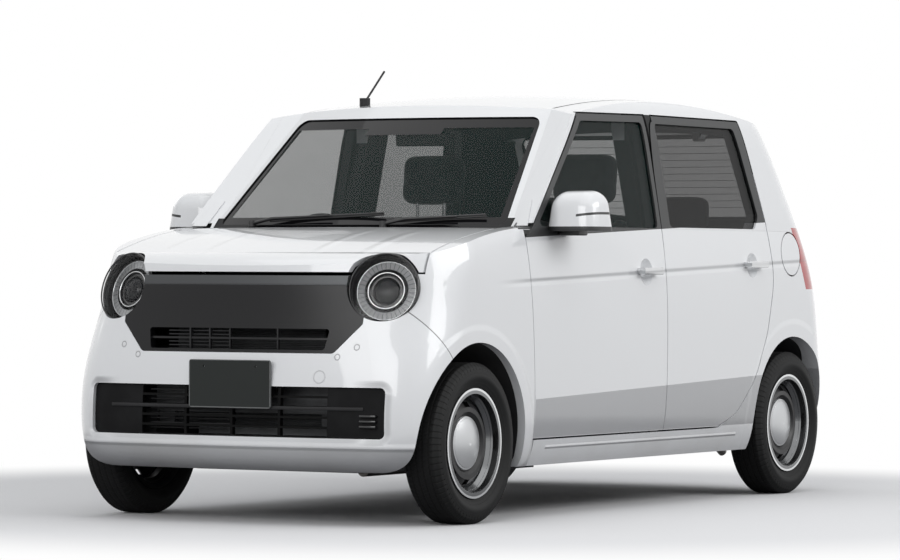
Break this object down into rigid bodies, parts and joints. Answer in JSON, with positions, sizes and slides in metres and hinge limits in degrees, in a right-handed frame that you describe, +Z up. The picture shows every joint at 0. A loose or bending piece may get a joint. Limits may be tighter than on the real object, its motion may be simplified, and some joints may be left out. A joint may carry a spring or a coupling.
{
  "type": "four-door kei hatchback car",
  "caption": "Compact upright hatchback with round headlamps, four hinged doors, a lifting tailgate and a bonnet, steered front wheels and steel wheels with silver caps.",
  "frame": {"origin": "on the ground under the middle of the car's overall length and width", "axes": "+Z up, the nose faces -Y, the car's own left side is +X"},
  "size_m": [1.776, 3.3969, 1.6231],
  "materials": {
    "paint": "gloss",
    "underbody": "matte",
    "trim": "matte",
    "gloss_black": "gloss",
    "lamp": "gloss",
    "clear": "gloss",
    "privacy": "gloss",
    "red_lamp": "gloss",
    "interior": "matte",
    "seat_cloth": "woven",
    "metal": "matte",
    "steel": "satin",
    "rubber": "matte",
    "plate": "satin"
  },
  "bodies": {
    "body": {"body_shell": "paint", "floor_pan": "underbody", "front_fenders": "paint", "front_bumper": "paint", "front_grille": "gloss_black", "lower_grille": "trim", "headlamps": "lamp", "headlamp_lenses": "clear", "cowl": "trim", "windscreen": "clear", "rear_bumper": "paint", "tail_lamps": "red_lamp", "antenna": "trim", "dashboard": "interior", "front_seats": "seat_cloth", "rear_seat": "seat_cloth", "engine": "metal", "radiator": "metal", "front_suspension": "metal", "rear_axle": "metal", "exhaust": "steel", "fuel_tank": "trim", "wheel_houses": "underbody", "front_number_plate": "plate"},
    "hood": {"hood": "paint"},
    "tailgate": {"tailgate": "paint", "tailgate_glass": "privacy", "rear_number_plate": "plate"},
    "fuel_lid": {"fuel_lid": "paint"},
    "steering_wheel": {"steering_wheel": "interior"},
    "front_door_left": {"front_door_left": "paint", "front_door_glass_left": "clear", "door_mirror_left": "paint"},
    "rear_door_left": {"rear_door_left": "paint", "rear_door_glass_left": "privacy"},
    "front_knuckle_left": {"front_knuckle_left": "metal"},
    "wheel_front_left": {"wheel_front_left": "steel", "tyre_front_left": "rubber"},
    "wheel_rear_left": {"wheel_rear_left": "steel", "tyre_rear_left": "rubber"},
    "front_door_right": {"front_door_right": "paint", "front_door_glass_right": "clear", "door_mirror_right": "paint"},
    "rear_door_right": {"rear_door_right": "paint", "rear_door_glass_right": "privacy"},
    "front_knuckle_right": {"front_knuckle_right": "metal"},
    "wheel_front_right": {"wheel_front_right": "steel", "tyre_front_right": "rubber"},
    "wheel_rear_right": {"wheel_rear_right": "steel", "tyre_rear_right": "rubber"}
  },
  "joints": [
    {"name": "front_door_left_hinge", "type": "hinge", "parent": "body", "child": "front_door_left", "pos_m": [0.7, -0.788, 0.283], "axis": [0, 0.0673, -0.9977], "range_deg": [0, 65]},
    {"name": "rear_door_left_hinge", "type": "hinge", "parent": "body", "child": "rear_door_left", "pos_m": [0.7, 0.23, 0.283], "axis": [0, 0, -1], "range_deg": [0, 65]},
    {"name": "front_door_right_hinge", "type": "hinge", "parent": "body", "child": "front_door_right", "pos_m": [-0.7, -0.788, 0.283], "axis": [0, -0.0673, 0.9977], "range_deg": [0, 65]},
    {"name": "rear_door_right_hinge", "type": "hinge", "parent": "body", "child": "rear_door_right", "pos_m": [-0.7, 0.23, 0.283], "axis": [0, 0, 1], "range_deg": [0, 65]},
    {"name": "hood_hinge", "type": "hinge", "parent": "body", "child": "hood", "pos_m": [0, -1.01, 0.976], "axis": [-1, 0, 0], "range_deg": [0, 50]},
    {"name": "tailgate_hinge", "type": "hinge", "parent": "body", "child": "tailgate", "pos_m": [0, 1.262, 1.436], "axis": [1, 0, 0], "range_deg": [0, 75]},
    {"name": "fuel_lid_hinge", "type": "hinge", "parent": "body", "child": "fuel_lid", "pos_m": [0.706, 1.151, 0.941], "axis": [0, 0, -1], "range_deg": [0, 75]},
    {"name": "steer_left", "type": "hinge", "parent": "body", "child": "front_knuckle_left", "pos_m": [0.598, -1.25, 0.196], "axis": [-0.1706, 0, 0.9853], "range_deg": [-35, 35]},
    {"name": "steer_right", "type": "hinge", "parent": "body", "child": "front_knuckle_right", "pos_m": [-0.598, -1.25, 0.196], "axis": [0.1706, 0, 0.9853], "range_deg": [-35, 35]},
    {"name": "steering_wheel_turn", "type": "hinge", "parent": "body", "child": "steering_wheel", "pos_m": [-0.33, -0.48, 0.905], "axis": [0, 0.9135, 0.4067], "range_deg": [-490, 490]},
    {"name": "wheel_front_left_spin", "type": "hinge", "parent": "front_knuckle_left", "child": "wheel_front_left", "pos_m": [0.6525, -1.25, 0.2785], "axis": [1, 0, 0], "continuous": true},
    {"name": "wheel_front_right_spin", "type": "hinge", "parent": "front_knuckle_right", "child": "wheel_front_right", "pos_m": [-0.6525, -1.25, 0.2785], "axis": [1, 0, 0], "continuous": true},
    {"name": "wheel_rear_left_spin", "type": "hinge", "parent": "body", "child": "wheel_rear_left", "pos_m": [0.6525, 1.27, 0.2785], "axis": [1, 0, 0], "continuous": true},
    {"name": "wheel_rear_right_spin", "type": "hinge", "parent": "body", "child": "wheel_rear_right", "pos_m": [-0.6525, 1.27, 0.2785], "axis": [1, 0, 0], "continuous": true}
  ],
  "couplings": [
    {"joint": "steer_right", "follows": "steer_left", "ratio": 1},
    {"joint": "steering_wheel_turn", "follows": "steer_left", "ratio": 14}
  ]
}
